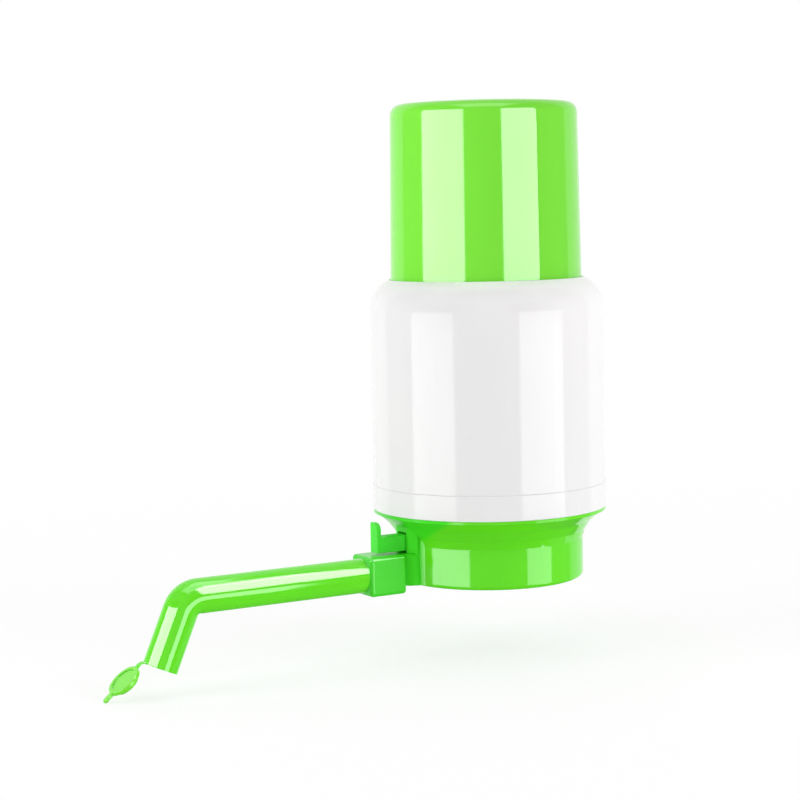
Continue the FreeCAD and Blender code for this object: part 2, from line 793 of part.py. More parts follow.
def dust_cap():
    """A shallow plug with a recessed back and a pull tab, in its own frame.

    Its +Y points at the hinge and its +Z out of the spout when it is closed.
    """
    plug_r = spout_bore_r - s.cap_plug_clear
    disc = turned("cap_disc", [
        (0, -s.cap_plug_length), (plug_r - s.cap_plug_taper, -s.cap_plug_length), (plug_r, 0),
        (s.cap_flange_r, 0), (s.cap_flange_r, s.cap_flange_thick),
        (s.cap_recess_r, s.cap_flange_thick), (s.cap_recess_r, s.cap_flange_thick - s.cap_recess_deep),
        (0, s.cap_flange_thick - s.cap_recess_deep),
    ], rounds=[
        (s.cap_flange_r, s.cap_flange_thick, s.cap_plug_clear),
        (s.cap_flange_r, 0, s.cap_plug_clear),
    ])
    half = s.pull_tab_width / 2
    tab_start = -(s.cap_recess_r + s.cap_flange_r) / 2
    tab_end = -(s.cap_flange_r + s.pull_tab_length)
    tab = padded("pull_tab", "XY_Plane", [(-half, tab_start), (-half, tab_end), (half, tab_end),
                                          (half, tab_start)], s.strap_thick,
                 rounds=[(half - s.face_gap, edge_along(Vector(0, 0, 1), y=tab_end))])
    place(tab, (0, 0, (s.cap_flange_thick - s.strap_thick) / 2))
    whole = fused("dust_cap", [disc, tab])
    whole.Label = "dust_cap"
    turn_sin = sine(cap_tilt)
    turn_cos = cosine(cap_tilt)
    rise = s.cap_seat_gap - s.hinge_drop
    return place(whole, (0, hinge_y - hinge_arm * turn_cos - rise * turn_sin,
                         hinge_z - hinge_arm * turn_sin + rise * turn_cos), cap_tilt)


def cap_strap():
    """The soft strap between the outlet's rim and the cap, bent over the hinge line."""
    turn_sin = sine(cap_tilt)
    turn_cos = cosine(cap_tilt)
    from_spout = s.strap_reach - s.face_gap
    from_cap = hinge_arm - s.cap_flange_r - s.face_gap
    spout_side = s.hinge_drop + s.strap_thick / 2 + s.face_gap
    cap_side = s.cap_seat_gap + s.cap_flange_thick / 2 - s.hinge_drop
    spread = sine(s.leg_lean + cap_tilt)

    def spout_point(offset):
        return (hinge_y + offset * lean_sin + from_spout * lean_cos,
                hinge_z + offset * lean_cos - from_spout * lean_sin)

    def cap_point(offset):
        return (hinge_y - offset * turn_sin - from_cap * turn_cos,
                hinge_z + offset * turn_cos - from_cap * turn_sin)

    def bend_point(at_spout, at_cap):
        return (hinge_y + (at_spout * turn_cos - at_cap * lean_cos) / spread,
                hinge_z + (at_cap * lean_sin + at_spout * turn_sin) / spread)

    half = s.strap_thick / 2
    top = (spout_side + half, cap_side + half)
    low = (spout_side - half, cap_side - half)
    bend_top = bend_point(*top)
    bend_low = bend_point(*low)
    across = Vector(1, 0, 0)
    return padded("cap_strap", "YZ_Plane", [
        spout_point(low[0]), spout_point(top[0]), bend_top, cap_point(top[1]),
        cap_point(low[1]), bend_low,
    ], s.strap_width, rounds=[
        (s.strap_thick, edge_along(across, y=bend_top[0], z=bend_top[1])),
        (s.strap_thick / 3, edge_along(across, y=bend_low[0], z=bend_low[1])),
    ], middle=True)


# ---- vent lever --------------------------------------------------------------------------------

def vent_lever():
    """The arm in the riser's slot with an upright thumb tab at its end."""
    heel_y = slot_inner_y + s.face_gap + s.pad_thick
    nose_y = pin_y - s.eye_r
    pad_top = vent_port_height + s.pad_height / 2 + s.lever_side_gap
    arm = padded("lever_arm", "YZ_Plane", [
        (-heel_y, lever_bottom), (-heel_y, pad_top), (-nose_y, pad_top),
        (-nose_y, pin_height), (-(pin_y - s.lever_side_gap), lever_top),
        (-(lever_reach - s.tab_thick), lever_top), (-(lever_reach - s.tab_thick), tab_top),
        (-lever_reach, tab_top), (-lever_reach, lever_bottom),
    ], s.lever_width, rounds=[
        (s.tab_round, edge_along(Vector(0, 1, 0), x=s.lever_width / 2, z=tab_top)),
        (s.lever_side_gap, edge_along(Vector(0, 1, 0), x=-s.lever_width / 2, z=tab_top)),
    ], middle=True)
    hole = cross_rod("lever_pin_hole", s.pin_r + s.pin_gap, -s.lever_width, s.lever_width)
    return cut("vent_lever", arm, [hole])


def vent_pad():
    """The rubber pad on the lever's heel that closes the vent port."""
    pad = block("vent_pad", (s.lever_side_gap - s.lever_width / 2,
                             -(slot_inner_y + s.face_gap + s.pad_thick),
                             vent_port_height - s.pad_height / 2),
                (s.lever_width / 2 - s.lever_side_gap, -(slot_inner_y + s.face_gap),
                 vent_port_height + s.pad_height / 2))
    pad.Label = "vent_pad"
    return pad


def vent_spring():
    return coil("vent_spring", s.vent_spring_r, s.vent_spring_wire / 2, s.vent_spring_turns,
                spring_foot() + s.face_gap, lever_bottom - s.face_gap, -vent_spring_y)


# ---- cylinder, valve and head ---------------------------------------------------------------

def pump_cylinder():
    """The barrel with its floor; the floor's ports let air down past the check valve."""
    barrel = turned("cylinder_barrel", [
        (0, seat), (flange_recess_r - s.flange_gap, seat), (flange_recess_r - s.flange_gap, floor_top),
        (cylinder_outer_r, floor_top), (cylinder_outer_r, cylinder_top),
        (cylinder_r, cylinder_top), (cylinder_r, floor_top), (0, floor_top),
    ])
    hole_low = seat - s.floor_thick / 2
    hole_high = 2 * s.floor_thick
    holes = [rod("stem_hole", s.valve_stem_r + s.face_gap, (0, s.valve_y, hole_low), hole_high)]
    for angle in range(0, 360, 60):
        x, y = on_ring(s.port_ring_r, angle)
        holes.append(rod("port", s.port_r, (x, s.valve_y + y, hole_low), hole_high))
    for angle in SCREW_ANGLES:
        x, y = on_ring(screw_ring_r, angle)
        holes.append(rod("screw_hole", s.screw_r + s.screw_clear, (x, y, hole_low), hole_high))
    return cut("pump_cylinder", barrel, holes)


def check_valve():
    """A rubber umbrella under the floor, held by the bead on its stem."""
    disc_top = seat - s.face_gap
    bead_low = floor_top + s.face_gap
    bead_r = 2 * s.valve_stem_r
    valve = turned("check_valve", [
        (0, disc_top - s.valve_thick), (s.valve_stem_r, disc_top - s.valve_thick),
        (s.valve_r, disc_top - s.valve_thick / 2), (s.valve_r, disc_top), (s.valve_stem_r, disc_top),
        (s.valve_stem_r, bead_low), (bead_r, bead_low),
        (s.valve_stem_r, floor_top + s.valve_bead), (0, floor_top + s.valve_bead),
    ])
    return place(valve, (0, s.valve_y, 0))


def screw(name, x, y, seat_z, tip_z, head_end_z):
    """A cross-recess screw between its tip and the top of its head."""
    low_z, high_z = (tip_z, seat_z) if tip_z.number < seat_z.number else (seat_z, tip_z)
    shank = rod(name + "_shank", s.screw_r, (x, y, low_z), high_z - low_z)
    head_low, head_high = (seat_z, head_end_z)
    if head_end_z.number < seat_z.number:
        head_low, head_high = (head_end_z, seat_z)
    head = rod(name + "_head", s.screw_head_r, (x, y, head_low), head_high - head_low)
    arm = s.screw_head_r * 0.6
    slit = s.screw_head_r * 0.12
    deep = (head_end_z - seat_z) * 0.6
    recess_low, recess_high = (head_end_z - deep, head_end_z)
    if head_end_z.number < seat_z.number:
        recess_low, recess_high = (head_end_z, head_end_z - deep)
    slots = [block(name + "_slot", (x - across, y - along, recess_low),
                   (x + across, y + along, recess_high)) for across, along in
             ((arm, slit), (slit, arm))]
    return cut(name, fused(name + "_solid", [shank, head]), slots)


def cylinder_screws():
    """The four screws that hold the cylinder's flange to the base."""
    screws = doc.addObject("Part::Compound", "cylinder_screws")
    screws.Label = "cylinder_screws"
    screws.Links = [
        screw("screw_{}".format(angle), *on_ring(screw_ring_r, angle), floor_top,
              seat - s.screw_depth, floor_top + s.screw_head_high)
        for angle in SCREW_ANGLES
    ]
    return screws


def cylinder_head():
    """The cylinder's lid: it guides the rod, seats the spring and vents the space above."""
    bore_r = s.rod_r + s.rod_fit
    skirt_inner_r = cylinder_outer_r + 2 * s.face_gap
    skirt_outer_r = skirt_inner_r + s.head_skirt
    ring_outer_r = s.spring_r - s.spring_wire
    ring_inner_r = ring_outer_r - s.spring_ring_wall
    ring_top = head_top + s.spring_ring_high
    lid = turned("head_lid", [
        (bore_r, guide_low), (s.head_guide_r, guide_low), (s.head_guide_r, cylinder_top),
        (skirt_inner_r, cylinder_top), (skirt_inner_r, cylinder_top - s.head_skirt_high),
        (skirt_outer_r, cylinder_top - s.head_skirt_high), (skirt_outer_r, head_top),
        (ring_outer_r, head_top), (ring_outer_r, ring_top), (ring_inner_r, ring_top),
        (ring_inner_r, head_top), (bore_r, head_top),
    ])
    vents = []
    for angle in SCREW_ANGLES:
        x, y = on_ring(cylinder_r - 2 * s.head_vent_r, angle)
        vents.append(rod("head_vent", s.head_vent_r, (x, y, cylinder_top - s.head_vent_r),
                         s.head_thick + 2 * s.head_vent_r))
    return cut("cylinder_head", lid, vents)


def bump_stop():
    """The rubber ring that ends the stroke."""
    inner_r = s.rod_r + s.bump_clear
    return turned("bump_stop", [
        (inner_r, head_top), (s.bump_r, head_top), (s.bump_r, bump_top), (inner_r, bump_top),
    ])


# ---- plunger --------------------------------------------------------------------------------

def press_r(height):
    """The press cap's outer radius at a height: it widens evenly to its foot."""
    share = (press_edge - height) / (press_edge - press_foot)
    return press_top_r + (press_foot_r - press_top_r) * share


def press_cap():
    """The cap that the hand presses: its catch ring stops under the shell's mouth."""
    inner_foot_r = press_foot_r - s.press_wall
    inner_top_r = press_top_r - s.press_wall
    socket_r = s.rod_r + s.face_gap
    crown_r = (press_top_r * press_top_r + s.press_crown * s.press_crown) / (2 * s.press_crown)
    return turned("press_cap", [
        (inner_foot_r, press_foot), (press_foot_r, press_foot), (press_r(catch_low), catch_low),
        (catch_r, catch_low), (catch_r, catch_top), (press_r(catch_top), catch_top),
        (press_top_r, press_edge), (0, press_top), (0, rod_top), (socket_r, rod_top),
        (socket_r, boss_low), (s.press_boss_r, boss_low), (s.press_boss_r, press_ceiling),
        (inner_top_r, press_ceiling),
    ], rounds=[(press_top_r, press_edge, s.press_edge_round)], arcs={6: crown_r})


def piston_rod():
    """The rod from the piston to the cap's socket, bored for the piston's screw."""
    bore_r = s.screw_r + s.face_gap
    bore_top = piston_top + s.screw_bite + s.screw_clear
    return turned("piston_rod", [
        (bore_r, piston_top), (s.rod_r, piston_top), (s.rod_r, rod_top), (0, rod_top),
        (0, bore_top), (bore_r, bore_top),
    ])


def piston():
    """The piston, with a groove for its cup seal and ports that let air through going up."""
    outer_r = cylinder_r - s.piston_gap
    groove_r = cylinder_r - s.seal_deep
    groove_low = piston_low + (s.piston_height - s.seal_high) / 2
    bore_r = s.screw_r + s.screw_clear
    disc = turned("piston_disc", [
        (bore_r, piston_low), (outer_r, piston_low), (outer_r, groove_low), (groove_r, groove_low),
        (groove_r, groove_low + s.seal_high), (outer_r, groove_low + s.seal_high),
        (outer_r, piston_top), (bore_r, piston_top),
    ])
    ports = []
    for angle in range(0, 360, 60):
        x, y = on_ring(s.flap_r - 2 * s.port_r, angle)
        ports.append(rod("piston_port", s.port_r, (x, y, piston_low - s.port_r),
                         s.piston_height + 2 * s.port_r))
    return cut("piston", disc, ports)


def piston_seal():
    """The rubber cup seal, its lip facing the pumped air below."""
    outer_r = cylinder_r - s.seal_gap
    inner_r = cylinder_r - s.seal_deep + s.face_gap
    low = piston_low + (s.piston_height - s.seal_high) / 2 + s.face_gap
    high = low + s.seal_high - 2 * s.face_gap
    lip_r = outer_r - s.seal_deep / 3
    web_r = inner_r + s.seal_deep / 3
    web_low = high - s.seal_deep / 3
    return turned("piston_seal", [
        (lip_r, low), (outer_r, low), (outer_r, high), (inner_r, high), (inner_r, web_low),
        (web_r, web_low),
    ])


def washer(label, low, radius, thick):
    inner_r = s.screw_r + s.screw_clear
    return turned(label, [(inner_r, low), (radius, low), (radius, low + thick), (inner_r, low + thick)])


def piston_screw():
    """The screw that holds the piston, its flap and washer to the rod."""
    whole = screw("piston_screw", 0, 0, washer_low, piston_top + s.screw_bite, plunger_low)
    return whole


def return_spring():
    return coil("return_spring", s.spring_r, s.spring_wire / 2, s.spring_turns, head_top, press_ceiling)


# ---- shell --------------------------------------------------------------------------------------

def outer_shell():
    """The white shell: a stepped band at its foot and a rounded shoulder round its mouth."""
    band_r = shell_r + s.band_step
    band_top = seat + s.band_height
    shoulder = shell_top - s.shoulder_drop
    ledge_r = catch_r + s.mouth_gap
    ledge_end = mouth_low - (shell_inner_r - ledge_r) * 2
    groove_r = shell_inner_r + s.snap_bead
    groove_low = seat + s.upstand_height / 2 - s.snap_bead - s.face_gap
    groove_high = groove_low + 2 * (s.snap_bead + s.face_gap)
    return turned("outer_shell", [
        (shell_inner_r, seat), (band_r, seat), (band_r, band_top), (shell_r, band_top),
        (shell_r, shoulder), (mouth_r, shell_top), (mouth_r, mouth_low), (ledge_r, mouth_low),
        (shell_inner_r, ledge_end), (shell_inner_r, groove_high), (groove_r, groove_high),
        (groove_r, groove_low), (shell_inner_r, groove_low),
    ], rounds=[
        (band_r, band_top, s.band_step * 0.8),
        (band_r, seat, s.band_step),
        (shell_r, shoulder, s.shoulder_round),
        (mouth_r, shell_top, s.mouth_gap),
    ])


SUBPARTS = [
    base_collar(), gallery_cover(), neck_gasket(), deck_seal(), lever_pin(), vent_spring(),
    spout(), spout_oring(), cap_strap(), dust_cap(), vent_lever(), vent_pad(),
    pump_cylinder(), check_valve(), cylinder_screws(), cylinder_head(), bump_stop(),
    press_cap(), piston_rod(), piston(), piston_seal(),
    washer("intake_flap", flap_low, s.flap_r, s.flap_thick),
    washer("flap_washer", washer_low, s.washer_r, s.washer_thick),
    piston_screw(), return_spring(), outer_shell(),
]


def check_and_write():
    """Stop on any failed object or shape; otherwise write one STEP file for each sub-part."""
    doc.recompute()
    for item in doc.Objects:
        assert "Invalid" not in item.State and "Error" not in item.State, item.Name + " failed"
    for item in SUBPARTS:
        assert not item.Shape.isNull() and item.Shape.isValid(), item.Label + " is not a sound shape"
    os.makedirs("parts", exist_ok=True)
    for item in SUBPARTS:
        item.Shape.exportStep("parts/{}.step".format(item.Label))
        box = item.Shape.BoundBox
        print("{:16s} solids {} volume {:9.2f}  z {:7.2f} to {:7.2f}".format(
            item.Label, len(item.Shape.Solids), item.Shape.Volume, box.ZMin, box.ZMax))


check_and_write()
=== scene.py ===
import json
import math

import bmesh
import bpy
from mathutils import Matrix, Vector


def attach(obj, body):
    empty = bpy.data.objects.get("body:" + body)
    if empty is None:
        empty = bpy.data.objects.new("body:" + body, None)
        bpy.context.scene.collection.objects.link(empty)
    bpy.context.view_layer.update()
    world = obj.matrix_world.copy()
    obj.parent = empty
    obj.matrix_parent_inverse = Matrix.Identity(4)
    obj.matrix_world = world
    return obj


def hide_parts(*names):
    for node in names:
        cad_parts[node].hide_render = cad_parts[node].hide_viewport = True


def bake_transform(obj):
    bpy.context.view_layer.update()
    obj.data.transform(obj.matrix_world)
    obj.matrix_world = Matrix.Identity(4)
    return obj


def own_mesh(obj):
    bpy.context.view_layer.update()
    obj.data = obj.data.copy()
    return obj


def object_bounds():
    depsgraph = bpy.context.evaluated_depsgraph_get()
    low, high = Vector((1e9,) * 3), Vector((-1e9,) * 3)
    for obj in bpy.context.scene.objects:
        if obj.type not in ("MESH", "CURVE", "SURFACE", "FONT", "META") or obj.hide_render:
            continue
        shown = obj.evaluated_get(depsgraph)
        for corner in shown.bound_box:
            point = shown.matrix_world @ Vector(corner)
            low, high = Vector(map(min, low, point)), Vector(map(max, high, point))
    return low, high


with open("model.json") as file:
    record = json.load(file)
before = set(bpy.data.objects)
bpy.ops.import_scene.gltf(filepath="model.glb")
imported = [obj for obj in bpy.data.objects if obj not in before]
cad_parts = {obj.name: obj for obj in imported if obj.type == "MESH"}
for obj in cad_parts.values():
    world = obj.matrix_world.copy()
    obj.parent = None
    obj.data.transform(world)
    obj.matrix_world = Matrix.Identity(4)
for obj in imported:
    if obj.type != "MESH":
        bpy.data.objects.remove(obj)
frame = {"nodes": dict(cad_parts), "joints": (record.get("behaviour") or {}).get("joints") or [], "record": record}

CAD_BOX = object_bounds()
MM = 0.001
FULL_TURN = 2 * math.pi
PURE_WHITE = (1.0, 1.0, 1.0, 1.0)


# ---- materials ---------------------------------------------------------------------------

class Shader:
    """A node material and the few helpers that the materials below are written with."""

    def __init__(self, name):
        self.material = bpy.data.materials.new(name)
        self.material.use_nodes = True
        self.tree = self.material.node_tree
        self.surface = self.tree.nodes["Principled BSDF"]
        self.where = self.add("ShaderNodeTexCoord").outputs["Object"]

    def add(self, kind, inputs=None, **settings):
        """A new node; inputs holds numbers, colours or sockets by the input's name or number."""
        node = self.tree.nodes.new(kind)
        for name, value in settings.items():
            setattr(node, name, value)
        for name, value in (inputs or {}).items():
            self.feed(node.inputs[name], value)
        return node

    def feed(self, socket, value):
        if isinstance(value, bpy.types.NodeSocket):
            self.tree.links.new(value, socket)
        else:
            socket.default_value = value

    def stretched(self, scale):
        """The object's own coordinates, stretched by an (x, y, z) scale."""
        return self.add("ShaderNodeMapping", {"Vector": self.where, "Scale": scale}).outputs[0]

    def along(self, axis):
        """The object's own coordinate along one axis: 0 is X, 1 is Y, 2 is Z."""
        return self.add("ShaderNodeSeparateXYZ", {0: self.where}).outputs[axis]

    def noise(self, scale, detail=2.0, roughness=0.5, where=None, distortion=0.0):
        return self.add("ShaderNodeTexNoise", {
            "Vector": where or self.where, "Scale": scale, "Detail": detail,
            "Roughness": roughness, "Distortion": distortion,
        }).outputs["Fac"]

    def remap(self, value, low, high, to_low, to_high):
        """A value between low and high, spread from to_low to to_high."""
        return self.add("ShaderNodeMapRange", {
            "Value": value, "From Min": low, "From Max": high, "To Min": to_low, "To Max": to_high,
        }).outputs["Result"]

    def maths(self, operation, first, second):
        node = self.add("ShaderNodeMath", operation=operation)
        self.feed(node.inputs[0], first)
        self.feed(node.inputs[1], second)
        return node.outputs[0]

    def mix(self, share, first, second):
        """A colour between two others."""
        return self.add("ShaderNodeMix", {0: share, 6: first, 7: second}, data_type="RGBA").outputs[2]

    def blend(self, share, first, second):
        """A surface between two others."""
        return self.add("ShaderNodeMixShader", {0: share, 1: first, 2: second}).outputs[0]

    def bump(self, height, strength, distance, normal=None):
        inputs = {"Height": height, "Strength": strength, "Distance": distance}
        if normal is not None:
            inputs["Normal"] = normal
        return self.add("ShaderNodeBump", inputs).outputs["Normal"]

    def set(self, **inputs):
        """Feed the Principled shader; an underscore in a name stands for a space."""
        for name, value in inputs.items():
            self.feed(self.surface.inputs[name.replace("_", " ")], value)

    def show(self, surface):
        """Put another surface in the place of the Principled shader."""
        self.tree.nodes.remove(self.surface)
        self.tree.links.new(surface, self.tree.nodes["Material Output"].inputs["Surface"])


def linear(red, green, blue):
    """An sRGB colour from 0 to 255 as linear light."""
    def channel(value):
        share = value / 255
        return share / 12.92 if share <= 0.04045 else ((share + 0.055) / 1.055) ** 2.4
    return channel(red), channel(green), channel(blue), 1.0


GREEN = linear(103, 225, 30)
GREEN_DEEP = linear(97, 219, 29)
# painted shade: a darker copy of the green for the block and the riser
SHADED_BLOCK_GREEN = linear(68, 217, 36)
# painted light: a lighter copy of the green for the lever
LEVER_LIT_GREEN = linear(70, 236, 48)
LEVER_LIT_GREEN_DEEP = linear(66, 231, 45)
# painted light: a paler copy of the green for the press cap and the dust cap
CAP_LIT_GREEN = linear(128, 234, 58)
CAP_LIT_GREEN_DEEP = linear(122, 230, 54)
# painted light: a paler copy of the green for the spout
SPOUT_LIT_GREEN = linear(108, 230, 40)
SPOUT_LIT_GREEN_DEEP = linear(102, 225, 38)
WHITE = linear(236, 234, 235)
WHITE_DEEP = linear(233, 231, 233)
NATURAL = linear(226, 228, 222)
NATURAL_CLOUDY = linear(216, 219, 212)
SILICONE = linear(224, 226, 222)
SILICONE_DUSTY = linear(212, 213, 207)
BLACK = linear(30, 30, 31)
BLACK_DUSTY = linear(62, 61, 60)
ZINC = linear(196, 200, 205)
ZINC_DULL = linear(176, 180, 186)
ZINC_YELLOW = linear(202, 199, 184)
SPRING = linear(152, 154, 158)
SPRING_STAINED = linear(134, 133, 134)

# Roughness of each surface.
GREEN_GLOSS = 0.07
WHITE_GLOSS = 0.08
SATIN_CAP = 0.2
SATIN_LEVER = 0.25
SATIN_BLOCK = 0.25
SILICONE_MATT = 0.42
RUBBER_MATT = 0.5
POLISH_WEAR = 1.7              # how much rougher a smudge is than the polish round it

PLASTIC_IOR = 1.49
RUBBER_IOR = 1.43
EDGE_ROUND = 0.25 * MM         # softens the moulded edges in the gloss

# The block and the riser are satin and painted darker, a painted shade: a zone along Y, from the block to the
# ring.
BLOCK_FACE = -52.2 * MM        # the far face of the spout's block
RISER_FACE = -37.6 * MM        # where the block meets the riser
RING_FACE = -31.0 * MM         # where the riser has run out into the ring
OUTER_FADE = 0.6 * MM
INNER_FADE = 1.5 * MM
RISER_SHADE_TINT = (0.1, 0.45, 0.1, 1.0)     # painted shade: the riser's gloss is tinted green, with no white in it, so it reads darker


def zone(shader, start, end):
    """1 between two places along Y, fading out just inside them."""
    place = shader.along(1)
    outer = shader.remap(place, start, start + OUTER_FADE, 0.0, 1.0)
    inner = shader.remap(place, end - INNER_FADE, end, 1.0, 0.0)
    return shader.maths("MINIMUM", outer, inner)


def polished_skin(shader):
    """A normal with softened edges, faint orange peel and hairlines along Z."""
    hairline = shader.noise(900.0, detail=1.0, where=shader.stretched((1.0, 1.0, 0.05)))
    orange_peel = shader.noise(420.0, detail=1.0)
    edge = shader.add("ShaderNodeBevel", {"Radius": EDGE_ROUND}, samples=4).outputs[0]
    peel = shader.bump(orange_peel, 0.05, 0.02 * MM, edge)
    return shader.bump(hairline, 0.03, 0.01 * MM, peel)


def gloss_plastic(name, colour, deep_colour, roughness, shaded_colour=None):
    """Polished moulding with faint flow marks in its colour and smudges in its gloss.

    With a shaded_colour, the zone of the block and the riser takes that colour, a painted shade, and a satin
    gloss.
    """
    shader = Shader(name)
    flow = shader.noise(28.0, detail=3.0, where=shader.stretched((1.0, 1.0, 0.35)), distortion=0.6)
    smudge = shader.noise(60.0, detail=4.0, roughness=0.6)
    base = shader.mix(shader.remap(flow, 0.35, 0.7, 0.0, 1.0), colour, deep_colour)
    gloss = shader.remap(smudge, 0.4, 0.75, roughness, roughness * POLISH_WEAR)
    if shaded_colour:
        # painted shade: the block and the riser take the darker green
        shaded_zone = zone(shader, BLOCK_FACE, RING_FACE)
        base = shader.mix(shaded_zone, base, shaded_colour)
        gloss = shader.maths("MAXIMUM", gloss, shader.maths("MULTIPLY", shaded_zone, SATIN_BLOCK))
        # painted shade: the riser's gloss is tinted green, which dims its reflections
        riser = zone(shader, RISER_FACE, RING_FACE)
        shader.set(Specular_Tint=shader.mix(riser, PURE_WHITE, RISER_SHADE_TINT))
    shader.set(Base_Color=base, Roughness=gloss, IOR=PLASTIC_IOR, Normal=polished_skin(shader))
    return shader.material


def natural_plastic(name):
    """Uncoloured polypropylene: waxy, a little cloudy, with the swirls of its filling."""
    shader = Shader(name)
    swirl = shader.noise(45.0, detail=4.0, distortion=1.5)
    wax = shader.noise(140.0, detail=3.0)
    tool_marks = shader.noise(700.0, detail=1.0, where=shader.stretched((0.04, 0.04, 1.0)))
    base = shader.mix(shader.remap(swirl, 0.35, 0.7, 0.0, 1.0), NATURAL, NATURAL_CLOUDY)
    peel = shader.bump(wax, 0.12, 0.03 * MM)
    shader.set(Base_Color=base, Roughness=shader.remap(wax, 0.35, 0.7, 0.3, 0.42),
               IOR=PLASTIC_IOR, Normal=shader.bump(tool_marks, 0.08, 0.01 * MM, peel))
    return shader.material


def soft_rubber(name, colour, dusty_colour, roughness):
    """Moulded rubber: a matt, finely grained skin with a little dust and moulding bloom."""
    shader = Shader(name)
    bloom = shader.noise(90.0, detail=4.0, roughness=0.65)
    grain = shader.noise(2600.0, detail=2.0)
    specks = shader.remap(shader.noise(1500.0, detail=1.0), 0.68, 0.74, 0.0, 0.5)
    base = shader.mix(shader.remap(bloom, 0.4, 0.75, 0.0, 0.6), colour, dusty_colour)
    base = shader.mix(specks, base, dusty_colour)
    matt = shader.remap(bloom, 0.35, 0.7, roughness, roughness + 0.15)
    shader.set(Base_Color=base, Roughness=matt, IOR=RUBBER_IOR,
               Normal=shader.bump(grain, 0.15, 0.015 * MM))
    return shader.material


def plated_steel(name):
    """Bright zinc plating: crystal patches, a faint yellow cast, and turned rings."""
    shader = Shader(name)
    crystal = shader.add("ShaderNodeTexVoronoi", {"Vector": shader.where, "Scale": 900.0})
    patch = shader.add("ShaderNodeSeparateColor", {0: crystal.outputs["Color"]}).outputs[0]
    cast = shader.noise(160.0, detail=2.0)
    rings = shader.noise(1800.0, detail=1.0, where=shader.stretched((0.05, 0.05, 1.0)))
    base = shader.mix(patch, ZINC, ZINC_DULL)
    base = shader.mix(shader.remap(cast, 0.45, 0.7, 0.0, 0.5), base, ZINC_YELLOW)
    shader.set(Base_Color=base, Metallic=1.0, Roughness=shader.remap(patch, 0.0, 1.0, 0.22, 0.36),
               Normal=shader.bump(rings, 0.1, 0.01 * MM))
    return shader.material


def drawn_steel(name):
    """Spring wire: darker bare steel with fine scratches and faint stains."""
    shader = Shader(name)
    scratch = shader.noise(2200.0, detail=2.0, where=shader.stretched((1.0, 1.0, 0.15)))
    stain = shader.noise(70.0, detail=3.0)
    base = shader.mix(shader.remap(stain, 0.4, 0.7, 0.0, 1.0), SPRING, SPRING_STAINED)
    shader.set(Base_Color=base, Metallic=1.0, Roughness=shader.remap(scratch, 0.3, 0.7, 0.2, 0.38),
               Normal=shader.bump(scratch, 0.12, 0.01 * MM))
    return shader.material


SLOT_MATERIALS = {
    "green_plastic": gloss_plastic("green_plastic", GREEN, GREEN_DEEP, GREEN_GLOSS, SHADED_BLOCK_GREEN),
    "white_plastic": gloss_plastic("white_plastic", WHITE, WHITE_DEEP, WHITE_GLOSS),
    "inner_plastic": natural_plastic("inner_plastic"),
    "silicone": soft_rubber("silicone", SILICONE, SILICONE_DUSTY, SILICONE_MATT),
    "black_rubber": soft_rubber("black_rubber", BLACK, BLACK_DUSTY, RUBBER_MATT),
    "zinc_steel": plated_steel("zinc_steel"),
    "spring_steel": drawn_steel("spring_steel"),
}
# The greens differ a little from piece to piece as painted light and shade on one plastic:
# the caps and the spout are painted paler, the lever a deeper green painted lighter, and the spout's block darker.
OWN_MATERIALS = {
    "press_cap": gloss_plastic("green_cap_lit", CAP_LIT_GREEN, CAP_LIT_GREEN_DEEP, GREEN_GLOSS),
    "spout": gloss_plastic("green_spout", SPOUT_LIT_GREEN, SPOUT_LIT_GREEN_DEEP, GREEN_GLOSS, SHADED_BLOCK_GREEN),
    "dust_cap": gloss_plastic("green_dust_cap", CAP_LIT_GREEN, CAP_LIT_GREEN_DEEP, SATIN_CAP),
    "vent_lever": gloss_plastic("green_lever", LEVER_LIT_GREEN, LEVER_LIT_GREEN_DEEP, SATIN_LEVER),
}


def dress(node, slot):
    mesh = frame["nodes"][node].data
    mesh.materials.clear()
    mesh.materials.append(OWN_MATERIALS.get(node) or SLOT_MATERIALS[slot])


for row in frame["record"]["subparts"]:
    dress(row["node"], row["material_slot"])
# The ring's gloss would otherwise show the spout and its cap in front of its left stripe.
for node in ("spout", "dust_cap"):
    frame["nodes"][node].visible_glossy = False


# ---- helpers for shapes ------------------------------------------------------------------------

def in_scene(name, data):
    """A new object that is linked to the scene."""
    thing = bpy.data.objects.new(name, data)
    bpy.context.scene.collection.objects.link(thing)
    return thing


def joint_called(name):
    return next(joint for joint in frame["joints"] if joint["name"] == name)


def skin(name, rings, material):
    """An object whose skin joins rings of points: smooth along its length, flat at its two ends."""
    shape = bmesh.new()
    loops = [[shape.verts.new(point) for point in ring] for ring in rings]
    for near, far in zip(loops, loops[1:]):
        for k in range(len(near)):
            after = (k + 1) % len(near)
            shape.faces.new((near[k], near[after], far[after], far[k])).smooth = True
    shape.faces.new(loops[0])
    shape.faces.new(list(reversed(loops[-1])))
    bmesh.ops.recalc_face_normals(shape, faces=shape.faces)
    mesh = bpy.data.meshes.new(name)
    shape.to_mesh(mesh)
    shape.free()
    mesh.materials.append(material)
    return in_scene(name, mesh)


# ---- the dust cap's strap --------------------------------------------------------------------

LEG_LEAN = math.radians(23.5)      # of the spout's leg, from straight down
STRAP_WIDTH = 2.2 * MM
STRAP_THICK = 0.7 * MM
STRAP_REACH = 1.4 * MM             # from the bend to the spout, and to the cap
STRAP_RISE = 1.1 * MM              # of the strap's root over the bend, along the leg
STRAP_KNEE = 0.8                   # how much of that rise its curve is drawn towards
STRAP_SUNK = 0.25 * MM             # how far its ends run into the spout and the cap
STRAP_WAIST = 0.3                  # how much thinner it is at the bend
WAIST_POWER = 4                    # the higher it is, the closer the waist keeps to the bend
STRAP_STEPS = 24                   # along the strap
STRAP_CORNERS = 16                 # round its section
WIDE_POWER = 0.4                   # below 1, these square the section up: across the strap,
HIGH_POWER = 0.6                   # and through its thickness


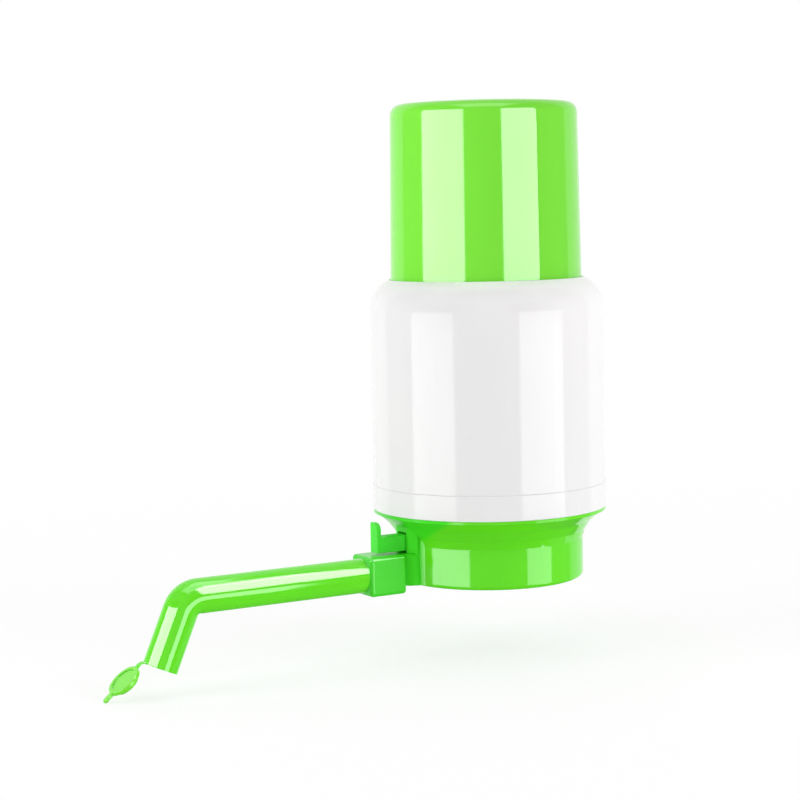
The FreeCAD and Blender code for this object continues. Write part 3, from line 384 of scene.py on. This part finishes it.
def cap_strap():
    """The soft strap, moulded onto the outlet's rim and the cap's, thinner where it bends."""
    joint = joint_called("dust_cap_hinge")
    hinge = Vector(joint["pos_m"])
    out = Vector((0, -math.cos(LEG_LEAN), math.sin(LEG_LEAN)))
    up_leg = Vector((0, math.sin(LEG_LEAN), math.cos(LEG_LEAN)))
    cap_tilt = math.radians(180 - joint["range_deg"][1]) - LEG_LEAN
    to_cap = Vector((0, -math.cos(cap_tilt), -math.sin(cap_tilt)))
    root = hinge - out * (STRAP_REACH + STRAP_SUNK) + up_leg * STRAP_RISE
    tip = hinge + to_cap * (STRAP_REACH + STRAP_SUNK)
    knee = hinge + out * 0.5 * STRAP_THICK + up_leg * STRAP_RISE * STRAP_KNEE
    middle = [quadratic(root, knee, tip, i / STRAP_STEPS) for i in range(STRAP_STEPS + 1)]
    strap = skin("dust_cap_strap", strap_rings(middle), OWN_MATERIALS["spout"])
    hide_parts("cap_strap")
    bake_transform(strap)


def quadratic(start, control, end, share):
    rest = 1 - share
    return start * rest * rest + control * 2 * rest * share + end * share * share


def strap_rings(middle):
    """The strap's sections along its middle line."""
    across = Vector((1, 0, 0))
    rings = []
    for i, point in enumerate(middle):
        ahead = middle[min(i + 1, STRAP_STEPS)] - middle[max(i - 1, 0)]
        lift = across.cross(ahead.normalized())
        waist = 1 - STRAP_WAIST * math.sin(math.pi * i / STRAP_STEPS) ** WAIST_POWER
        half_across = across * STRAP_WIDTH / 2
        half_up = lift * waist * STRAP_THICK / 2
        rings.append([point + half_across * wide + half_up * high for wide, high in boxy_section()])
    return rings


def boxy_section():
    """The corners of a box with rounded edges, 1 out to each side."""
    corners = []
    for corner in range(STRAP_CORNERS):
        angle = FULL_TURN * (corner + 0.5) / STRAP_CORNERS
        wide = math.copysign(abs(math.cos(angle)) ** WIDE_POWER, math.cos(angle))
        high = math.copysign(abs(math.sin(angle)) ** HIGH_POWER, math.sin(angle))
        corners.append((wide, high))
    return corners


cap_strap()


# ---- the springs -------------------------------------------------------------------------------

COIL_POINTS = 48           # along each turn
WIRE_POINTS = 12           # round the wire
RETURN_WIRE_R = 0.8 * MM
RETURN_TURNS = 11.0
VENT_WIRE_R = 0.15 * MM
VENT_TURNS = 3.5


def world_box(thing):
    """The low and high corner of an object's box."""
    corners = [thing.matrix_world @ Vector(corner) for corner in thing.bound_box]
    low = Vector(min(corner[k] for corner in corners) for k in range(3))
    high = Vector(max(corner[k] for corner in corners) for k in range(3))
    return low, high


def coil(name, node, wire_r, turns):
    """A spring in the place of its CAD node, with the middle of its foot and its length."""
    low, high = world_box(frame["nodes"][node])
    middle = (low + high) / 2
    radius = (high.x - low.x) / 2 - wire_r
    rise = high.z - low.z - 2 * wire_r
    start = Vector((middle.x, middle.y, low.z + wire_r))
    rings = coil_rings(start, radius, rise, wire_r, turns)
    spring = skin(name, rings, SLOT_MATERIALS["spring_steel"])
    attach(spring, "base")
    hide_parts(node)
    return spring, Vector((middle.x, middle.y, low.z)), high.z - low.z


def coil_rings(start, radius, rise, wire_r, turns):
    """Rings of points round a wire that climbs in turns above its start."""
    steps = round(turns * COIL_POINTS)
    slope = rise / (FULL_TURN * turns * radius)
    rings = []
    for i in range(steps + 1):
        angle = FULL_TURN * turns * i / steps
        outward = Vector((math.cos(angle), math.sin(angle), 0))
        along = Vector((-math.sin(angle), math.cos(angle), slope))
        lift = outward.cross(along.normalized())
        centre = start + Vector((0, 0, rise * i / steps)) + outward * radius
        rings.append([centre + outward * wire_r * math.cos(around) + lift * wire_r * math.sin(around)
                      for around in (FULL_TURN * k / WIRE_POINTS for k in range(WIRE_POINTS))])
    return rings


return_coil, return_foot, return_length = coil("return_coil", "return_spring", RETURN_WIRE_R, RETURN_TURNS)
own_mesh(return_coil)
vent_coil, vent_foot, _ = coil("vent_coil", "vent_spring", VENT_WIRE_R, VENT_TURNS)
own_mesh(vent_coil)


# ---- floor and background ---------------------------------------------------------------------

FLOOR_RADIUS = 3.0
FLOOR_SIDES = 96
FLOOR_SHADE = 0.25         # how much of the floor near the pump is lit, and so shaded
FLOOR_FADE = (0.12, 0.55)  # that share fades out between these distances, in metres
WORLD_SEEN = 1.0           # the world's strength where the camera or a gloss sees it
WORLD_FILL = 0.58          # and where it only lights


def stage_floor():
    """A round white floor at the pump's lowest point."""
    mesh = bpy.data.meshes.new("floor")
    floor = in_scene("floor", mesh)
    shape = bmesh.new()
    bmesh.ops.create_circle(shape, cap_ends=True, segments=FLOOR_SIDES, radius=FLOOR_RADIUS)
    shape.to_mesh(mesh)
    shape.free()
    floor.location.z = CAD_BOX[0].z
    floor.visible_glossy = False
    mesh.materials.append(floor_material())


def floor_material():
    """Matt white that runs out into plain white for the camera, and is clear from beneath."""
    shader = Shader("floor")
    path = shader.add("ShaderNodeLightPath")
    seen = shader.maths("MAXIMUM", path.outputs["Is Camera Ray"], path.outputs["Is Transmission Ray"])
    far = shader.add("ShaderNodeVectorMath", {0: shader.where}, operation="LENGTH").outputs["Value"]
    lit_share = shader.remap(far, *FLOOR_FADE, FLOOR_SHADE, 0.0)
    matt = shader.add("ShaderNodeBsdfDiffuse", {"Color": PURE_WHITE}).outputs[0]
    glow = shader.add("ShaderNodeEmission", {"Strength": 1.0}).outputs[0]
    above = shader.blend(seen, matt, shader.blend(lit_share, glow, matt))
    clear = shader.add("ShaderNodeBsdfTransparent").outputs[0]
    beneath = shader.add("ShaderNodeNewGeometry").outputs["Backfacing"]
    shader.show(shader.blend(beneath, above, clear))
    return shader.material


def white_world():
    """White where the camera or a gloss sees it, and a plain fill light otherwise."""
    world = bpy.data.worlds.new("studio")
    bpy.context.scene.world = world
    world.use_nodes = True
    tree = world.node_tree
    background = tree.nodes["Background"]
    path = tree.nodes.new("ShaderNodeLightPath")
    seen = tree.nodes.new("ShaderNodeMath")
    seen.operation = "MAXIMUM"
    tree.links.new(path.outputs["Is Camera Ray"], seen.inputs[0])
    tree.links.new(path.outputs["Is Glossy Ray"], seen.inputs[1])
    strength = tree.nodes.new("ShaderNodeMapRange")
    strength.inputs["To Min"].default_value = WORLD_FILL
    strength.inputs["To Max"].default_value = WORLD_SEEN
    tree.links.new(seen.outputs[0], strength.inputs["Value"])
    tree.links.new(strength.outputs["Result"], background.inputs["Strength"])
    background.inputs["Color"].default_value = PURE_WHITE


# ---- lights --------------------------------------------------------------------------------------

CAMERA_AZIMUTH = 57.0      # degrees round the pump from looking along +Y
CARD_DISTANCE = 0.7
CARD_STEPS = 16
FLAG_DISTANCE = 0.9
GLINT_DISTANCE = 0.5
PUMP_MIDDLE = (0, -0.02, 0.07)
TUBE_MIDDLE = (0.005, -0.08, 0.006)
LEG_MIDDLE = (0.004, -0.122, -0.001)

CAP = ("press_cap",)
SHELL = ("outer_shell",)
RING = ("base_collar",)
SPOUT = ("spout", "dust_cap", "dust_cap_strap")


def toward(azimuth, elevation):
    """The direction from the pump at an azimuth right of the camera, in degrees."""
    turn = math.radians(CAMERA_AZIMUTH + azimuth)
    rise = math.radians(elevation)
    return Vector((math.sin(turn) * math.cos(rise), -math.cos(turn) * math.cos(rise), math.sin(rise)))


def soft_box(name, azimuth, elevation, distance, size, aim):
    """An area lamp, its power unset, that faces its aim and that the camera doesn't see."""
    data = bpy.data.lights.new(name, "AREA")
    data.shape = "RECTANGLE"
    data.size, data.size_y = size
    box = in_scene(name, data)
    direction = toward(azimuth, elevation)
    box.location = Vector(aim) + direction * distance
    box.rotation_mode = "QUATERNION"
    box.rotation_quaternion = direction.to_track_quat("Z", "Y")
    box.visible_camera = False
    return box


def lamp(name, azimuth, elevation, distance, size, power):
    """A soft box that lights matt surfaces and stays out of reflections."""
    box = soft_box(name, azimuth, elevation, distance, size, PUMP_MIDDLE)
    box.data.energy = power
    box.visible_glossy = False
    return box


def glint(name, azimuth, elevation, size, aim, radiance, shines_on):
    """A soft box that shows only in the gloss of the named pieces."""
    box = soft_box(name, azimuth, elevation, GLINT_DISTANCE, size, aim)
    box.data.energy = radiance * math.pi * size[0] * size[1]
    box.visible_diffuse = False
    shine_only_on(box, shines_on)


def linked_pieces(light, pieces):
    """A collection of the named pieces, for linking one light to them or keeping it off them."""
    linked = bpy.data.collections.new("pieces_of_" + light.name)
    for piece in pieces:
        linked.objects.link(bpy.data.objects.get(piece) or frame["nodes"][piece])
    return linked


def shine_only_on(light, pieces):
    light.light_linking.receiver_collection = linked_pieces(light, pieces)


def keep_off(light, pieces):
    """The light falls on everything but these pieces."""
    unlit = linked_pieces(light, pieces)
    for member in unlit.collection_objects:
        member.light_linking.link_state = "EXCLUDE"
    light.light_linking.receiver_collection = unlit


def card(name, azimuths, heights, strength, shines_on=(), fade=None, distance=CARD_DISTANCE):
    """A curved card round the pump, between two azimuths and two heights, only for reflections.

    It shows in the named pieces alone, or in everything; fade is the heights where it dims to nothing.
    """
    step = (azimuths[1] - azimuths[0]) / CARD_STEPS
    spots = [toward(azimuths[0] + step * i, 0) * distance for i in range(CARD_STEPS + 1)]
    corners = [(spot.x, spot.y, height) for height in heights for spot in spots]
    upper = len(spots)
    faces = [(i, i + 1, upper + i + 1, upper + i) for i in range(CARD_STEPS)]
    mesh = bpy.data.meshes.new(name)
    mesh.from_pydata(corners, [], faces)
    show_in_gloss_only(name, mesh, strength, shines_on, fade)


def level_card(name, near, far, half_width, height, strength, shines_on=()):
    """A level card, from near to far on the way to the camera, only for reflections."""
    ahead = toward(0, 0)
    side = Vector((-ahead.y, ahead.x, 0)) * half_width
    up = Vector((0, 0, height))
    corners = [ahead * near - side, ahead * near + side, ahead * far + side, ahead * far - side]
    mesh = bpy.data.meshes.new(name)
    mesh.from_pydata([corner + up for corner in corners], [], [(0, 1, 2, 3)])
    show_in_gloss_only(name, mesh, strength, shines_on)


def show_in_gloss_only(name, mesh, strength, shines_on=(), fade=None):
    """Put a glowing card in the scene that only glossy rays meet."""
    thing = in_scene(name, mesh)
    for ray in ("camera", "diffuse", "transmission", "volume_scatter", "shadow"):
        setattr(thing, "visible_" + ray, False)
    if shines_on:
        shine_only_on(thing, shines_on)
    shader = Shader(name)
    if fade:
        strength = shader.remap(shader.along(2), *fade, strength, 0.0)
    shader.show(shader.add("ShaderNodeEmission", {"Strength": strength}).outputs[0])
    shader.material.cycles.emission_sampling = "NONE"
    mesh.materials.append(shader.material)


KEY_SIDE = 68              # degrees to each side of the camera
KEY_RISE = 20
KEY_DISTANCE = 0.8
KEY_SIZE = (0.5, 0.8)
KEY_POWER = 3.1
KEY_ON_CAP = 1.7           # the right key's power on the cap, whose right side is deeper green


def light_matt_surfaces():
    """Two big soft boxes at the sides and one behind."""
    lamp("key_left", -KEY_SIDE, KEY_RISE, KEY_DISTANCE, KEY_SIZE, KEY_POWER)
    keep_off(lamp("key_right", KEY_SIDE, KEY_RISE, KEY_DISTANCE, KEY_SIZE, KEY_POWER), CAP)
    shine_only_on(lamp("key_right_cap", KEY_SIDE, KEY_RISE, KEY_DISTANCE, KEY_SIZE, KEY_ON_CAP), CAP)
    lamp("back", 180, 35, 0.9, (1.0, 0.6), 1.6)


# The cards' heights, in metres. A card hides what is behind it, so these bands don't overlap.
CAP_BAND = (0.076, 0.45)
SHELL_BAND = (-0.077, 0.076)
RING_BAND = (-0.4, -0.077)
SHELL_FADE = (0.05, 0.076)
FLAG_BAND = (-1.2, 1.6)


def light_gloss():
    """Cards and glints for the stripes, and two dull flags for what lies between them."""
    card("left_cap", (-79, -24), CAP_BAND, 10.8, CAP)
    card("right_cap", (21, 65), CAP_BAND, 10.8, CAP)
    card("left_shell", (-77, -32), SHELL_BAND, 3.1, SHELL, fade=SHELL_FADE)
    card("right_shell", (31, 77), SHELL_BAND, 3.1, SHELL, fade=SHELL_FADE)
    card("left_ring", (-75, -25), RING_BAND, 5.6, RING)
    card("right_ring", (45, 79), RING_BAND, 4.4, RING)
    card("front_flag", (-115, 115), FLAG_BAND, 0.4, distance=FLAG_DISTANCE)
    level_card("over_crown", 0.1, 0.6, 0.3, 0.75, 3.3, CAP)
    level_card("under_flag", -0.65, 0.65, 0.65, -0.42, 0.12)
    glint("tube_stripe", 70, 39, (0.32, 0.42), TUBE_MIDDLE, 15.0, SPOUT)
    glint("spout_top", 50, 80, (0.5, 0.4), TUBE_MIDDLE, 3.5, SPOUT)
    glint("leg_left", -48, 21, (0.65, 0.14), LEG_MIDDLE, 14.0, SPOUT)
    glint("leg_right", 50, -8, (0.27, 0.21), LEG_MIDDLE, 7.0, SPOUT)


# ---- camera ----------------------------------------------------------------------------------------

LENS = 97.46
SENSOR_WIDTH = 36.0
CLIP = (0.01, 10.0)
CAMERA_DISTANCE = 0.745    # from the pump's axis
CAMERA_HEIGHT = 0.13217    # above the collar's bottom rim
CAMERA_YAW = 2.334         # degrees off the pump's axis, which puts the pump right of the middle
CAMERA_PITCH = 5.42        # degrees down
CAMERA_ROLL = 1.158


def photo_camera():
    """The photograph's camera, as solved from its ellipses and edges."""
    data = bpy.data.cameras.new("camera")
    data.lens = LENS
    data.sensor_width = SENSOR_WIDTH
    data.clip_start, data.clip_end = CLIP
    camera = in_scene("camera", data)
    camera.location = toward(0, 0) * CAMERA_DISTANCE + Vector((0, 0, CAMERA_HEIGHT))
    turn = (Matrix.Rotation(math.radians(CAMERA_AZIMUTH + CAMERA_YAW), 3, "Z")
            @ Matrix.Rotation(math.radians(90 - CAMERA_PITCH), 3, "X")
            @ Matrix.Rotation(math.radians(-CAMERA_ROLL), 3, "Z"))
    camera.rotation_mode = "QUATERNION"
    camera.rotation_quaternion = turn.to_quaternion()
    bpy.context.scene.camera = camera


stage_floor()
white_world()
light_matt_surfaces()
light_gloss()
photo_camera()

bpy.context.scene.view_settings.view_transform = "Standard"
